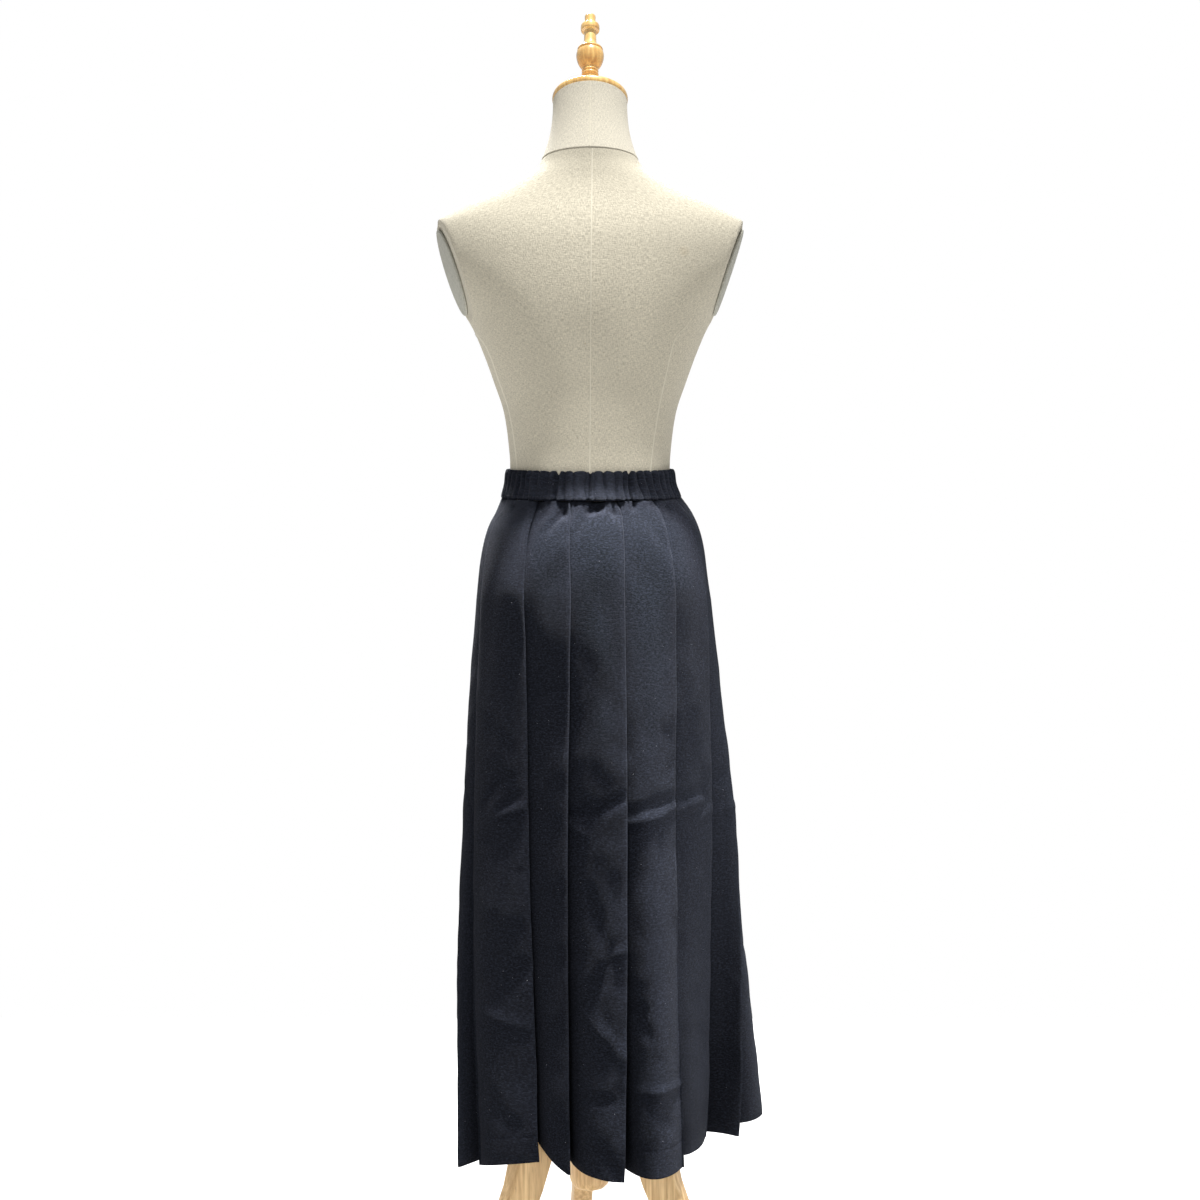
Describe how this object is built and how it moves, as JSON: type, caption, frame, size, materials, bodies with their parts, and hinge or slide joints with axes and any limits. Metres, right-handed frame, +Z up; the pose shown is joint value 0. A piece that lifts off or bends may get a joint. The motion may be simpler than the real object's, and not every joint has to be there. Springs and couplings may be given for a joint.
{
  "type": "pleated maxi skirt on a dress form",
  "caption": "Long navy wool skirt with knife pleats and a gathered elastic waistband, worn by a limbless linen dress form with a turned wooden finial on a wooden tripod stand.",
  "frame": {"origin": "middle of the footprint's box, on the floor the three feet stand on", "axes": "+Z up; -Y towards the back of the skirt and of the form, the side the picture shows; +X to the right as that back is looked at"},
  "size_m": [0.4776, 0.4345, 1.6262],
  "materials": {
    "navy_wool": "matte",
    "linen": "matte",
    "varnished_wood": "gloss",
    "pale_wood": "satin"
  },
  "bodies": {
    "root": {"skirt_waistband": "navy_wool", "skirt_back_panel": "navy_wool", "skirt_front_panel": "navy_wool", "form_torso": "linen", "form_arm_plate_left": "linen", "form_arm_plate_right": "linen", "form_neck": "linen", "neck_cap": "varnished_wood", "neck_finial": "varnished_wood", "stand_pole": "pale_wood", "stand_block": "pale_wood", "stand_column_end": "pale_wood", "stand_leg_left": "pale_wood", "stand_leg_right": "pale_wood", "stand_leg_front": "pale_wood"}
  },
  "joints": []
}
